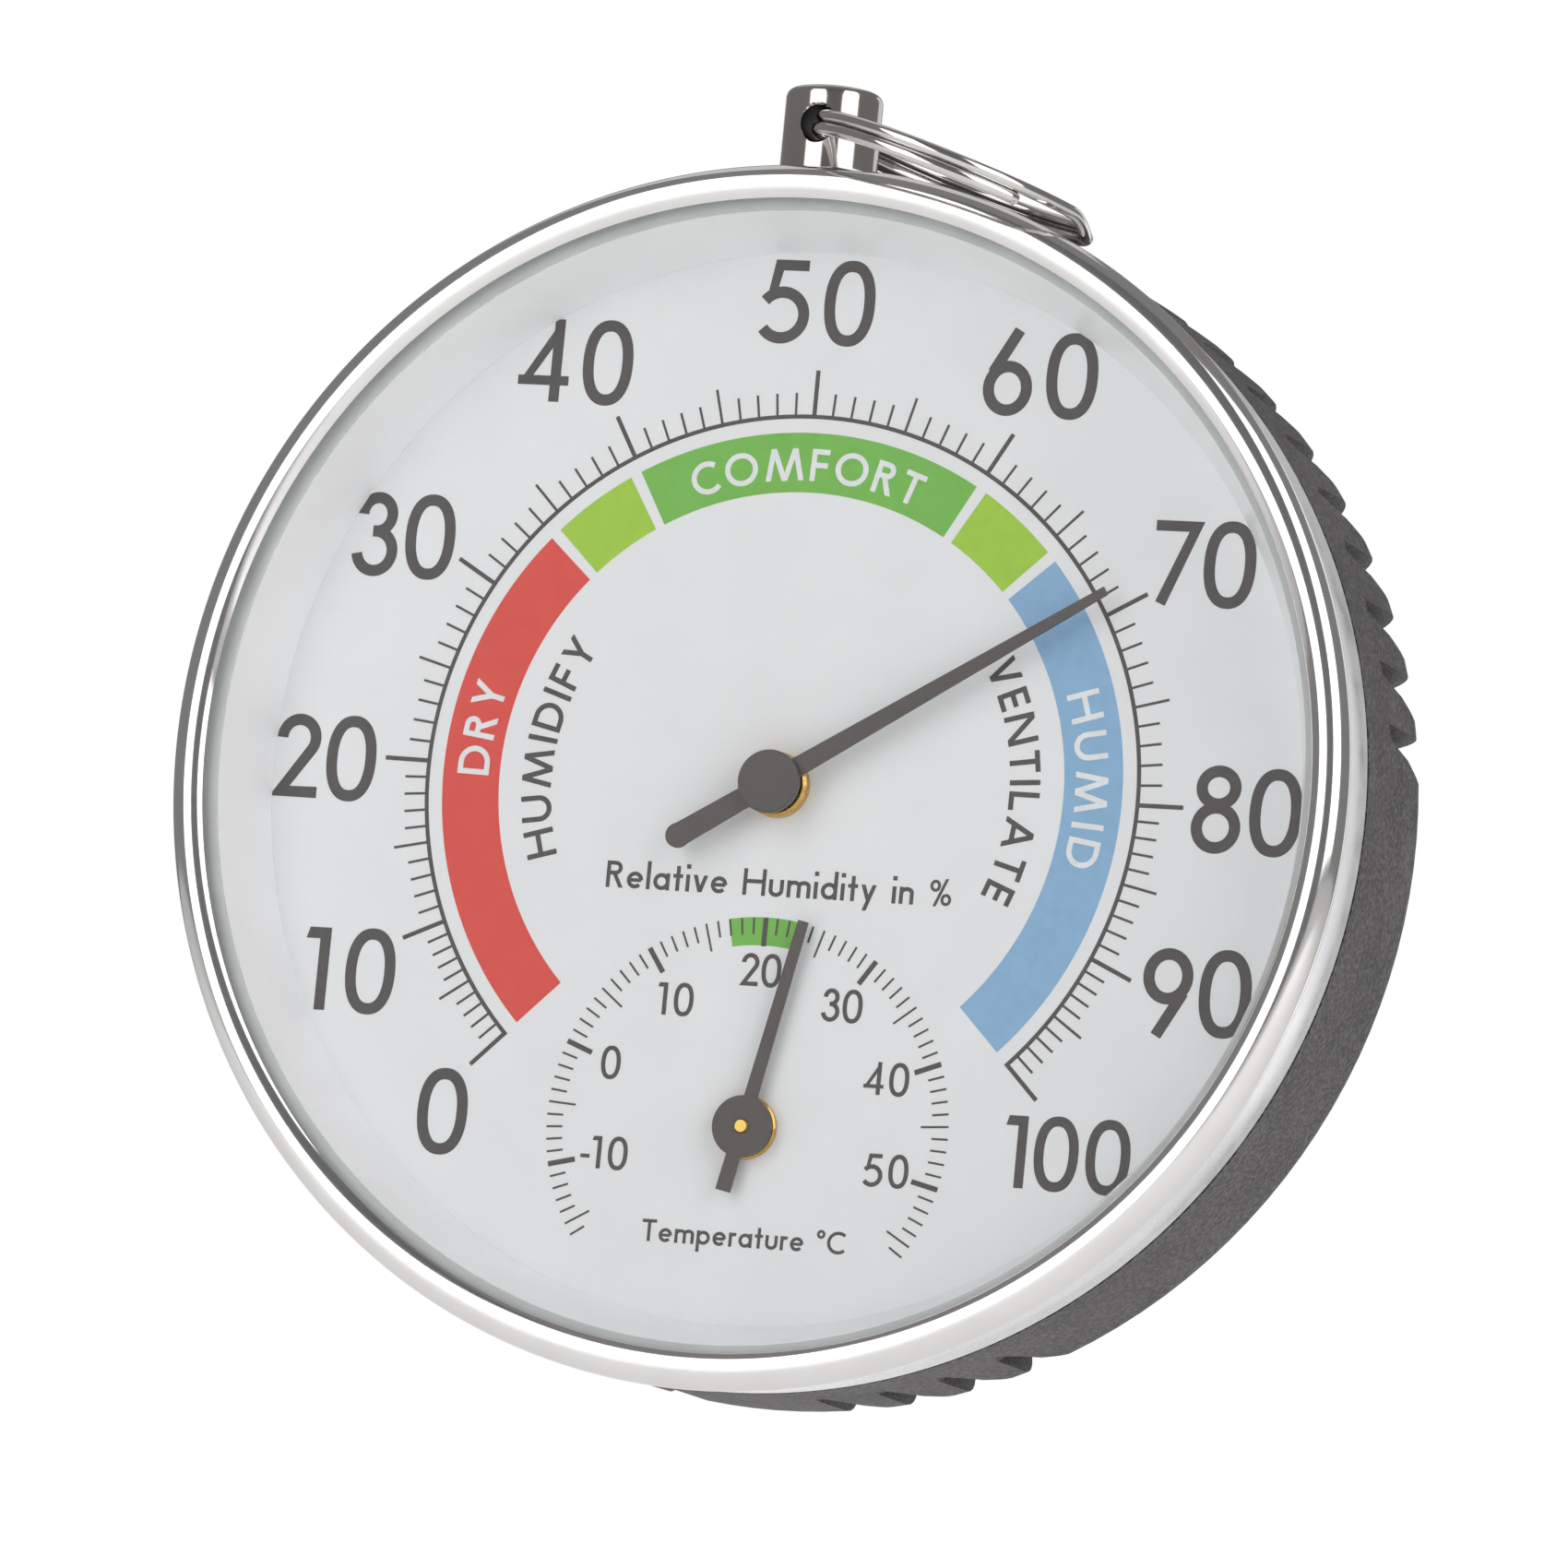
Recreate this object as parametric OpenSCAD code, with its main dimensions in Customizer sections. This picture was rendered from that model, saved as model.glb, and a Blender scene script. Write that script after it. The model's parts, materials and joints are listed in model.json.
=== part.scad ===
// Dial hygrometer with an inset thermometer, hung by a split ring.
// Millimetres. +X is to the right of the dial, +Z is up and the dial faces -Y.
// The origin is the centre of the rear face that lies against the wall.

/* [Case] */
// Outer diameter of the polished bezel bead
bezel_d = 101; // [96:1:110]
// Depth from the dial face back to the rear face
rear_depth = 19.5; // [18.5:0.5:24]
// Least thickness of the moulded case wall, measured to the deepest louvre
case_wall = 1.2; // [1.0:0.1:2]
// Depth of the louvre teeth at the rear edge
tooth_depth = 2.1; // [1:0.1:2.4]
// Angle between two louvre teeth
tooth_pitch = 6; // [5.5:0.5:6]
// Teeth above each side grip
upper_teeth = 12; // [4:1:12]
// Teeth below each side grip
lower_teeth = 4; // [2:1:4]
// Radial slots in the rear cover
vent_count = 20; // [12:1:28]

/* [Front] */
// Radius of the bead rolled round the front of the bezel
bead_r = 1.73; // [1.2:0.01:2]
// Height of the bead's centre above the dial face
bead_z = 7.05; // [6.5:0.05:8]
// Thickness of the flat lens
lens_t = 1.1; // [0.8:0.1:1.4]
// Radius of the flat part of the dial, where the flange ring starts
dial_flat_r = 44.6; // [42:0.1:45]

/* [Hanging] */
// Diameter of the stud that carries the ring
stud_d = 8.1; // [7:0.1:9]
// Height of the top of the stud above the dial centre
stud_top = 57.6; // [57:0.1:60]
// Height of the cross hole above the dial centre
hole_up = 54.3; // [54.2:0.1:54.6]
// Radius of the cross hole
hole_r = 1.5; // [1.4:0.05:1.8]
// Outer diameter of the split ring
ring_d = 25; // [22:0.5:28]
// Diameter of the ring's wire
wire_d = 1.1; // [0.9:0.1:1.2]
// Angle below level at which the ring rests on the bezel's shoulder
ring_rest = 17.8; // [17.6:0.1:18]

/* [Readings] */
// Angle of the humidity pointer from straight up, clockwise
humidity_angle = 57.7; // [-135:0.1:135]
// Angle of the temperature pointer from straight up, clockwise
temperature_angle = 11.9; // [-124:0.1:124]
// Distance of the thermometer's axis below the dial centre
thermo_down = 28.3; // [26:0.1:30]

/* [Movement] */
// Radius of the hair's centre line round the drum on the pointer arbor
drum_line_r = 0.8; // [0.7:0.05:1.2]
// Radius of the hair's centre line round the guide roller
roller_line_r = 3.2; // [3:0.1:4]
// Height of the roller axis above the dial centre
roller_up = 30; // [27:0.5:32]
// Lean of the hair's second leg away from the vertical
leg_lean = 35; // [30:1:40]
// Length of the hair's second leg
leg_len = 36; // [33:0.5:38]
// Strands in the hair bundle
strands = 5; // [3:1:6]
// Throw of the eccentric pin on the calibration screw
throw = 0.6; // [0.4:0.05:0.8]

/* [Hidden] */
$fn = 96;

// Three fixings share these angles
thirds = [60, 180, 300];

// Small working gaps
fit_gap = 0.05;
touch_gap = 0.02;

// Case
bezel_r = bezel_d / 2;
bead_cx = bezel_r - bead_r;
band_r = bezel_r - 0.5;
band_in_r = bezel_r - 1.1;
band_low_z = 0;
seam_z = -0.45;
case_r = band_r;
rear_edge_r = case_r + 0.25;
rear_edge_z = -14.6;
rear_z = -rear_depth;
rear_face_r = case_r - 4.9;
wall_r = case_r - tooth_depth - case_wall;
spigot_r = band_in_r - fit_gap;
spigot_in_r = spigot_r - 1.25;
spigot_z = 5;
ledge_r = 43.8;
ledge_low_z = -6.2;
floor_z = -15.4;
floor_r = 36;
cover_r = 42;
cover_t = 1.9;
cover_screw_r = 39;
vent_w = 1.6;
vent_in_r = 15;
vent_len = 11;
tooth_start_z = -5.5;

// Dial stack
dial_t = 0.5;
base_t = 1.2;
base_z = -dial_t - base_t;
dial_r = spigot_in_r - 0.2;
lens_low_z = 7.2;
lens_r = bezel_r - 2.2;
gasket_t = 0.3;
lip_z = lens_low_z + lens_t;
flange_t = 0.5;
flange_top_r = 46.9;
screw_ring_r = 45.9;

// Hanging parts
stud_z = 2.4;
stud_r = stud_d / 2;
stud_foot = band_r + fit_gap;
spigot_screw_r = 1.25;
nut_t = 0.75;
washer_t = 0.3;
wire_r = wire_d / 2;
turn_offset = wire_r - 0.03;
ring_line_r = ring_d / 2 - wire_r;
ring_sag = ring_line_r - sqrt(ring_line_r * ring_line_r - stud_r * stud_r);
ring_throw = ring_line_r - ring_sag / 2;

// Movement depths, all behind the dial face
bridge_front_z = -11.4;
bridge_t = 1.2;
hair_mid_z = -5.4;
hair_step = 0.42;
strand_r = 0.15;
hair_w = hair_step * (strands - 1) + 2 * strand_r;
roller_half = hair_w / 2 + 0.25;
roller_x = drum_line_r - roller_line_r;
arbor_r = 0.5;
spring_z = -9.7;
spring_h = 0.8;
pillar_spots = [[-9, 9], [9, 9], [0, -11.5]];

// Hair anchor, measured down the second leg from the roller axis
slider_w = 4.2;
slider_t = 2.4;
slider_z = hair_mid_z - slider_t / 2;
slider_front_z = slider_z + slider_t;
slider_top = -leg_len + 2;
clamp_y = slider_top - 1.6;
guide_len = 15;
guide_w = 9.4;
cal_along = leg_len + 7;
guide_y = 4.5 - cal_along;
guide_screw_x = guide_w / 2 - 1.2;
peg_x = guide_screw_x;
peg_y = guide_y - 4;
cap_z = slider_z - 1.3;
cal_pin_r = 0.6;
cal_shaft_r = throw + cal_pin_r + 0.1;

// Coils and the thermometer's bracket
bracket_foot_x = 12.5;
bracket_screw_x = 14.9;
coil_r = 8.6;
coil_in_r = 1.7;
coil_turns = 6;
coil_h = 3;
coil_strip = 0.45;
coil_z = -8.6;
bracket_z = -12.2;

function polar(r, a) = [r * sin(a), r * cos(a)];

// Places children on the dial: x right, y up, z towards the reader.
module face() {
    translate([0, -rear_depth, 0])
        rotate([90, 0, 0])
            children();
}

// Turns children clockwise as the reader sees them.
module clockwise(a) {
    rotate([0, 0, -a])
        children();
}

module disc(r, z0, z1) {
    translate([0, 0, z0])
        cylinder(r = r, h = z1 - z0);
}

module tube(r_out, r_in, z0, z1) {
    difference() {
        disc(r_out, z0, z1);
        disc(r_in, z0 - 1, z1 + 1);
    }
}

module box(x, y, z0, z1) {
    translate([-x / 2, -y / 2, z0])
        cube([x, y, z1 - z0]);
}

// Frame of the hair's second leg: y runs up the leg to the roller axis.
module leg_frame() {
    face()
        translate([roller_x, roller_up, 0])
            clockwise(leg_lean)
                children();
}

// Frame on the line that the second leg of hair follows.
module anchor_frame() {
    leg_frame()
        translate([-roller_line_r, 0, 0])
            children();
}

module thermo_frame() {
    face()
        translate([0, -thermo_down, 0])
            children();
}

// One louvre: a steep face just past the tooth's tip, then a soft ramp back to full radius.
module louvre_cut() {
    lean = atan(tooth_depth / (tooth_start_z - rear_edge_z));
    translate([0, case_r, tooth_start_z])
        rotate([-lean, 0, 0])
            translate([0, 0, rear_z - tooth_start_z - 3])
                linear_extrude(height = tooth_start_z - rear_z + 5)
                    polygon([[0, 3], [0, 0.4], [0.25, 0], [0.9, 0.2], [1.6, 0.8], [2.3, 1.6],
                        [3.1, 2.02], [4.6, tooth_depth + 0.5], [4.6, 3]]);
}

// Both rows of louvres face the smooth grip on the side of the case.
module louvre_set() {
    for (i = [0 : upper_teeth - 1])
        clockwise(80 - i * tooth_pitch)
            louvre_cut();
    for (i = [0 : lower_teeth - 1])
        clockwise(155 + i * tooth_pitch)
            mirror([1, 0, 0])
                louvre_cut();
}

module case_shell() {
    shoulder = [for (i = [1 : 7]) [
        rear_face_r + (rear_edge_r - rear_face_r) * cos(90 * i / 8),
        rear_edge_z - (rear_edge_z - rear_z) * sin(90 * i / 8)]];
    rotate_extrude()
        polygon(concat(
            [[spigot_in_r, spigot_z], [spigot_r, spigot_z], [spigot_r, seam_z],
                [case_r, seam_z], [rear_edge_r, rear_edge_z]],
            shoulder,
            [[rear_face_r, rear_z], [cover_r + 0.2, rear_z], [cover_r + 0.2, rear_z + cover_t],
                [floor_r, rear_z + cover_t], [floor_r, floor_z], [wall_r, floor_z],
                [wall_r, ledge_low_z], [ledge_r, ledge_low_z], [ledge_r, base_z],
                [spigot_in_r, base_z]]));
}

module case_body() {
    color("#4b484b")
        face()
            difference() {
                case_shell();
                louvre_set();
                mirror([1, 0, 0])
                    louvre_set();
                translate([0, spigot_in_r - 2, stud_z])
                    rotate([-90, 0, 0])
                        cylinder(r = spigot_screw_r + 0.1, h = 5);
                for (a = thirds)
                    clockwise(a) {
                        translate([0, cover_screw_r, 0])
                            disc(0.85, rear_z, floor_z + 1);
                        translate([0, screw_ring_r, 0])
                            disc(0.85, base_z - 4, base_z + 1);
                    }
            }
}

// Slot with round ends.
module vent_slot() {
    translate([-vent_w / 2, vent_in_r, rear_z - 1])
        cube([vent_w, vent_len, cover_t + 2]);
    for (y = [vent_in_r, vent_in_r + vent_len])
        translate([0, y, 0])
            disc(vent_w / 2, rear_z - 1, rear_z + cover_t + 1);
}

module rear_cover() {
    color("#454246")
        face()
            difference() {
                disc(cover_r, rear_z, rear_z + cover_t - touch_gap);
                for (i = [0 : vent_count - 1])
                    clockwise(360 * i / vent_count)
                        vent_slot();
                for (a = thirds)
                    clockwise(a)
                        translate([0, cover_screw_r, 0]) {
                            disc(1.1, rear_z - 1, rear_z + 5);
                            disc(2.1, rear_z - 1, rear_z + 1);
                        }
                translate([roller_x, roller_up, 0])
                    clockwise(leg_lean)
                        translate([-roller_line_r, -cal_along, 0])
                            disc(2.9, rear_z - 1, rear_z + 5);
            }
}

// Pan-head screw pointing forwards from its seat, with a cross slot.
module rear_screw(head_r, head_h, shank_r, length) {
    difference() {
        union() {
            disc(head_r, -head_h, 0);
            disc(shank_r, -0.01, length);
        }
        for (a = [0, 90])
            rotate([0, 0, a])
                box(head_r * 1.3, 0.45, -head_h - 1, -head_h * 0.45);
    }
}

// Flush screw pointing backwards from the front face it is sunk in.
module flush_screw(head_r, shank_r, length) {
    difference() {
        union() {
            translate([0, 0, -0.7])
                cylinder(r1 = shank_r, r2 = head_r, h = 0.7);
            disc(shank_r, -length, -0.69);
        }
        box(head_r * 3, 0.35, -0.3, 1);
    }
}

module flush_sink(head_r, shank_r, length) {
    translate([0, 0, -0.75])
        cylinder(r1 = shank_r, r2 = head_r + 0.05, h = 0.76);
    disc(shank_r, -length, 0);
}

module rear_cover_screws() {
    color("#9a9a9c")
        face()
            for (a = thirds)
                clockwise(a)
                    translate([0, cover_screw_r, rear_z + 1])
                        rear_screw(1.9, 0.85, 0.8, 3.6);
}

module bezel_ring() {
    color("#d6d6d8")
        face()
            difference() {
                rotate_extrude($fn = 192)
                    difference() {
                        union() {
                            translate([bead_cx, bead_z])
                                circle(r = bead_r);
                            polygon([[band_in_r - 0.1, band_low_z], [band_r, band_low_z],
                                [band_r, bead_z - 1.3], [band_r - 0.3, bead_z - 1.1],
                                [bead_cx, bead_z], [band_in_r - 0.1, bead_z]]);
                        }
                        translate([bead_cx - 5, seam_z - 1])
                            square([band_in_r - bead_cx + 5, lip_z - seam_z + 1]);
                    }
                translate([0, band_in_r - 2, stud_z])
                    rotate([-90, 0, 0])
                        cylinder(r = spigot_screw_r + 0.1, h = 5);
            }
}

module lens() {
    color([0.86, 0.92, 0.94, 0.3])
        face()
            disc(lens_r, lens_low_z, lip_z - touch_gap);
}

module lens_gasket() {
    color("#d9dcdc")
        face()
            tube(lens_r - 0.1, flange_top_r - 0.1, lens_low_z - gasket_t, lens_low_z - touch_gap);
}

module flange_ring() {
    top = lens_low_z - gasket_t - touch_gap;
    color("#e6e9ea")
        face()
            rotate_extrude($fn = 144)
                polygon([[dial_flat_r, touch_gap], [dial_flat_r + 1.2, touch_gap],
                    [flange_top_r + 0.3, top - 0.6], [lens_r - 0.4, top - 0.6],
                    [lens_r - 0.4, top], [flange_top_r - 0.2, top]]);
}

module dial_plate() {
    color("#e4e5e6")
        face()
            difference() {
                disc(dial_r, -dial_t + touch_gap, 0);
                disc(2, -2, 1);
                translate([0, -thermo_down, 0])
                    disc(2, -2, 1);
            }
}

module base_plate() {
    color("#b9bbbd")
        face()
            difference() {
                disc(dial_r, base_z + touch_gap, -dial_t);
                disc(2, -3, 1);
                translate([0, -thermo_down, 0])
                    disc(2, -3, 1);
                for (a = thirds)
                    clockwise(a)
                        translate([0, screw_ring_r, -dial_t])
                            flush_sink(1.7, 1, 3);
                for (p = pillar_spots)
                    translate([p[0], p[1], -dial_t])
                        flush_sink(1.4, 0.75, 3);
                for (s = [-1, 1])
                    translate([s * bracket_screw_x, -thermo_down, 0])
                        disc(0.75, -3, 0);
                translate([roller_x, roller_up, 0])
                    clockwise(leg_lean)
                        translate([-roller_line_r, peg_y, 0])
                            for (s = [-1, 1])
                                translate([s * peg_x, 0, 0])
                                    disc(0.85, -3, 0);
            }
}

module base_plate_screws() {
    color("#8f9092")
        face()
            for (a = thirds)
                clockwise(a)
                    translate([0, screw_ring_r, -dial_t - touch_gap])
                        flush_screw(1.7, 0.8, 4.6);
}

// Hanging parts

module stud_frame() {
    face()
        translate([0, 0, stud_z])
            rotate([-90, 0, 0])
                children();
}

module hanging_stud() {
    chamfer = 0.7;
    color("#8e8a88")
        stud_frame()
            difference() {
                union() {
                    disc(stud_r, stud_foot, stud_top - chamfer);
                    translate([0, 0, stud_top - chamfer])
                        cylinder(r1 = stud_r, r2 = stud_r - chamfer, h = chamfer);
                    disc(spigot_screw_r, spigot_in_r - washer_t - nut_t - 0.2, stud_foot + 0.5);
                }
                translate([0, 0, hole_up])
                    rotate([90, 0, 0])
                        translate([0, 0, -10])
                            cylinder(r = hole_r, h = 20);
                for (s = [-1, 1])
                    translate([0, s * stud_r, hole_up])
                        rotate([s * 90, 0, 0])
                            translate([0, 0, -0.55])
                                cylinder(r1 = hole_r, r2 = hole_r + 0.9, h = 0.9);
            }
}

module stud_washer() {
    top = spigot_in_r - 0.08;
    color("#a8a8aa")
        stud_frame()
            tube(2.2, spigot_screw_r + fit_gap, top - washer_t, top);
}

module stud_nut() {
    top = spigot_in_r - 0.08 - washer_t - touch_gap;
    color("#a8a8aa")
        stud_frame()
            difference() {
                translate([0, 0, top - nut_t])
                    cylinder(r = 2.6, h = nut_t, $fn = 6);
                disc(spigot_screw_r + 0.01, 0, 60);
            }
}

// Two turns of round wire lying against each other, with the stepped ends of the split.
module split_ring() {
    color("#a9a6a4")
        face()
            translate([0, hole_up, stud_z])
                rotate([0, 0, -ring_rest])
                    translate([ring_throw, 0, 0])
                        rotate([90, 0, 0])
                            difference() {
                                rotate_extrude($fn = 128)
                                    for (s = [-1, 1])
                                        translate([ring_line_r, s * turn_offset])
                                            circle(r = wire_r, $fn = 32);
                                for (s = [-1, 1])
                                    rotate([0, 0, 72 + s * 9])
                                        translate([ring_line_r - 1, -0.15, s > 0 ? 0 : -2])
                                            cube([2, 0.3, 2]);
                            }
}

// Humidity pointer and its arbor

module humidity_bush() {
    color("#cda75f")
        face()
            difference() {
                union() {
                    disc(1.95, -3.2, 0.02);
                    disc(2.7, touch_gap, 0.9);
                    translate([0, 0, 0.9])
                        cylinder(r1 = 2.7, r2 = 2.45, h = 0.25);
                }
                disc(arbor_r + fit_gap, -5, 5);
            }
}

module humidity_arbor() {
    color("#b9bbbe")
        face() {
            disc(arbor_r, bridge_front_z + 0.2, 2.3);
            disc(0.28, bridge_front_z - bridge_t - 0.3, bridge_front_z + 0.25);
        }
}

// A flat needle, wider at the tail, with a collar round its arbor.
module humidity_pointer() {
    color("#615b59")
        face()
            clockwise(humidity_angle)
                difference() {
                    union() {
                        translate([0, 0, 1.95])
                            linear_extrude(height = 0.35)
                                polygon([[-0.97, -9], [0.97, -9], [0.36, 32.1], [-0.36, 32.1]]);
                        translate([0, -9, 1.95])
                            cylinder(r = 1.03, h = 0.35);
                        disc(1.1, 1.3, 2.3);
                    }
                    disc(arbor_r + 0.01, 0, 5);
                }
}

module pointer_cap() {
    color("#5c5654")
        face() {
            disc(2.62, 2.3 + touch_gap, 2.85);
            translate([0, 0, 2.85])
                cylinder(r1 = 2.62, r2 = 2.5, h = 0.12);
        }
}

// A bobbin on the arbor, which winds the hair.
module hair_drum() {
    color("#c9a45c")
        face()
            difference() {
                union() {
                    disc(drum_line_r - strand_r - 0.03, hair_mid_z - roller_half - 0.4,
                        hair_mid_z + roller_half + 0.4);
                    disc(1.7, hair_mid_z + roller_half, hair_mid_z + roller_half + 0.4);
                    disc(1.7, hair_mid_z - roller_half - 0.4, hair_mid_z - roller_half);
                }
                disc(arbor_r + 0.01, -20, 5);
            }
}

// Parallel strands: half round the drum, up, over the roller and down the second leg.
module hair_bundle() {
    lap = 0.05;
    straight_r = strand_r - 0.01;
    color("#b39a6d")
        for (i = [0 : strands - 1]) {
            z = hair_mid_z + (i - (strands - 1) / 2) * hair_step;
            face() {
                translate([0, 0, z])
                    rotate([0, 0, -200])
                        rotate_extrude(angle = 200)
                            translate([drum_line_r, 0])
                                circle(r = strand_r, $fn = 16);
                translate([drum_line_r, -lap, z])
                    rotate([-90, 0, 0])
                        cylinder(r = straight_r, h = roller_up + 2 * lap, $fn = 16);
                translate([roller_x, roller_up, z])
                    rotate_extrude(angle = 180 - leg_lean)
                        translate([roller_line_r, 0])
                            circle(r = strand_r, $fn = 16);
            }
            anchor_frame()
                translate([0, slider_top + touch_gap, z])
                    rotate([-90, 0, 0])
                        cylinder(r = straight_r, h = lap - touch_gap - slider_top, $fn = 16);
        }
}

module guide_roller() {
    core = roller_line_r - strand_r - 0.03;
    color("#e9e6dc")
        leg_frame()
            difference() {
                union() {
                    disc(core, hair_mid_z - roller_half, hair_mid_z + roller_half);
                    for (s = [-1, 1])
                        translate([0, 0, s * (roller_half + 0.25)])
                            disc(roller_line_r + 0.8, hair_mid_z - 0.25, hair_mid_z + 0.25);
                }
                disc(1 + fit_gap, -20, 0);
                for (a = [0 : 72 : 359])
                    rotate([0, 0, a])
                        translate([2.05, 0, 0])
                            disc(0.5, -20, 0);
            }
}

// Shouldered post standing on the base plate, grooved for its clip.
module roller_axle() {
    front = hair_mid_z + roller_half + 0.5 + fit_gap;
    rear = hair_mid_z - roller_half - 0.5 - fit_gap;
    color("#c6c7c9")
        leg_frame()
            difference() {
                union() {
                    disc(1.8, front, base_z);
                    disc(1, rear - 1.2, front + 0.01);
                }
                tube(1.5, 0.75, rear - 0.55, rear - 0.1);
            }
}

module roller_clip() {
    rear = hair_mid_z - roller_half - 0.5 - fit_gap;
    color("#77787c")
        leg_frame()
            difference() {
                disc(1.9, rear - 0.5, rear - 0.15);
                disc(0.78, -20, 0);
                translate([0, -2, -10])
                    box(1.2, 4, -5, 10);
            }
}

// A flat spiral strip wound by a formula from its inner to its outer radius.
module spiral(r_in, r_out, turns, strip, height) {
    steps = 20;
    n = turns * steps;
    function mid(i) = r_in + (r_out - r_in) * i / n;
    linear_extrude(height = height)
        polygon(concat(
            [for (i = [0 : n]) polar(mid(i) + strip / 2, i * 360 / steps)],
            [for (i = [n : -1 : 0]) polar(mid(i) - strip / 2, i * 360 / steps)]));
}

module hairspring() {
    color("#8fa0b5")
        face()
            translate([0, 0, spring_z])
                spiral(1.75, 6.4, 6, 0.12, spring_h);
}

module hairspring_collet() {
    color("#c9a45c")
        face()
            tube(1.55, arbor_r + 0.01, spring_z - 0.2, spring_z + spring_h + 0.2);
}

// Post on the bridge that holds the spring's outer end.
module hairspring_stud() {
    color("#c6c7c9")
        face()
            translate([0, 7.3, 0])
                disc(0.75, bridge_front_z, spring_z + spring_h + 0.3);
}

module movement_bridge() {
    z0 = bridge_front_z - bridge_t;
    color("#cfae6c")
        face()
            difference() {
                union() {
                    for (p = pillar_spots)
                        translate([p[0], p[1], 0])
                            disc(2.6, z0, bridge_front_z - touch_gap);
                    translate([0, 9, 0])
                        box(18, 5.2, z0, bridge_front_z - touch_gap);
                    translate([0, -1.3, 0])
                        box(5.2, 20.6, z0, bridge_front_z - touch_gap);
                }
                disc(1.2, -20, 0);
                for (p = pillar_spots)
                    translate([p[0], p[1], 0])
                        disc(0.85, -20, 0);
            }
}

module bridge_pillars() {
    color("#c9a45c")
        face()
            for (p = pillar_spots)
                translate([p[0], p[1], 0])
                    tube(1.8, 0.72, bridge_front_z, base_z);
}

module pillar_screws() {
    color("#8f9092")
        face()
            for (p = pillar_spots)
                translate([p[0], p[1], -dial_t - touch_gap])
                    flush_screw(1.4, 0.7, 4);
}

module bridge_screws() {
    color("#9fa0a3")
        face()
            for (p = pillar_spots)
                translate([p[0], p[1], bridge_front_z - bridge_t - touch_gap])
                    rear_screw(1.5, 0.9, 0.7, 3.6);
}

module rear_pivot_bush() {
    color("#b3574f")
        face()
            tube(1.2 - 0.01, 0.28 + 0.03, bridge_front_z - bridge_t, bridge_front_z - touch_gap);
}

// Hair anchor and its adjustment

// A moulded channel that the slider runs in, staked to the base plate by two pegs.
module slider_guide() {
    color("#d8d4c8")
        anchor_frame()
            difference() {
                union() {
                    translate([0, guide_y, 0])
                        box(guide_w, guide_len, slider_z, base_z);
                    for (s = [-1, 1])
                        translate([s * peg_x, peg_y, 0])
                            disc(0.8, base_z - 1, -dial_t - 0.1);
                }
                translate([0, guide_y, 0])
                    box(slider_w + 2 * fit_gap, guide_len + 2, slider_z - 1, slider_front_z + fit_gap);
                translate([0, slider_top, 0])
                    box(slider_w + 2 * fit_gap, 8, slider_front_z, base_z + 1);
                for (s = [-1, 1])
                    translate([s * guide_screw_x, guide_y, 0])
                        disc(0.62, slider_z - 1, slider_z + 3);
            }
}

// Thin plate that keeps the slider in its channel and carries the calibration screw.
module guide_cap() {
    color("#bfc1c3")
        anchor_frame()
            difference() {
                translate([0, guide_y, 0])
                    box(guide_w, guide_len, cap_z, slider_z - touch_gap);
                translate([0, -cal_along, 0])
                    disc(cal_shaft_r + fit_gap, -20, 0);
                for (s = [-1, 1])
                    translate([s * guide_screw_x, guide_y, 0])
                        disc(0.7, -20, 0);
            }
}

module guide_screws() {
    color("#8f9092")
        anchor_frame()
            for (s = [-1, 1])
                translate([s * guide_screw_x, guide_y, cap_z - touch_gap])
                    rear_screw(1.15, 0.7, 0.6, 3.2);
}

// Block with a blind cross slot for the calibration screw's pin.
module anchor_slider() {
    end_wall = 1.6;
    low_end = -cal_along - end_wall;
    color("#c9a45c")
        anchor_frame()
            difference() {
                translate([0, (slider_top + low_end) / 2, 0])
                    box(slider_w, slider_top - low_end, slider_z + touch_gap, slider_front_z);
                translate([0, -cal_along, 0])
                    box(slider_w + 1, 2 * cal_pin_r + 0.08, slider_z - 1, slider_front_z - 0.7);
                translate([0, clamp_y, 0])
                    disc(0.55, slider_z - 1, slider_front_z + 1);
            }
}

// Small plate that nips the ends of the hair.
module hair_clamp() {
    low = slider_front_z + touch_gap;
    color("#bfc1c3")
        anchor_frame()
            translate([0, clamp_y, 0])
                difference() {
                    box(3.4, 3, low, low + 0.5);
                    disc(0.6, low - 1, low + 2);
                }
}

module clamp_screw() {
    color("#9fa0a3")
        anchor_frame()
            translate([0, clamp_y, slider_front_z + 0.5 + 2 * touch_gap])
                rotate([180, 0, 0])
                    rear_screw(1.05, 0.5, 0.5, 2.2);
}

// Slotted screw reached through the rear cover; its eccentric pin moves the slider.
module calibration_screw() {
    head_rear = rear_z + cover_t + 0.3;
    head_front = cap_z - 0.35;
    color("#d0b070")
        anchor_frame()
            translate([0, -cal_along, 0])
                difference() {
                    union() {
                        disc(2.4, head_rear, head_front);
                        disc(cal_shaft_r, head_front - 0.01, slider_z);
                        translate([-throw, 0, 0])
                            disc(cal_pin_r, slider_z - 0.3, slider_front_z - 0.8);
                    }
                    box(6, 0.7, head_rear - 1, head_rear + 1.1);
                }
}

module friction_washer() {
    color("#77787c")
        anchor_frame()
            translate([0, -cal_along, 0])
                tube(2.1, cal_shaft_r + fit_gap, cap_z - 0.33, cap_z - touch_gap);
}

// Thermometer

module temperature_bush() {
    color("#cda75f")
        thermo_frame()
            difference() {
                union() {
                    disc(1.95, -3, 0.02);
                    disc(2.65, touch_gap, 0.4);
                    translate([0, 0, 0.4])
                        cylinder(r1 = 2.65, r2 = 2.5, h = 0.15);
                }
                disc(arbor_r + fit_gap, -5, 5);
            }
}

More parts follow.
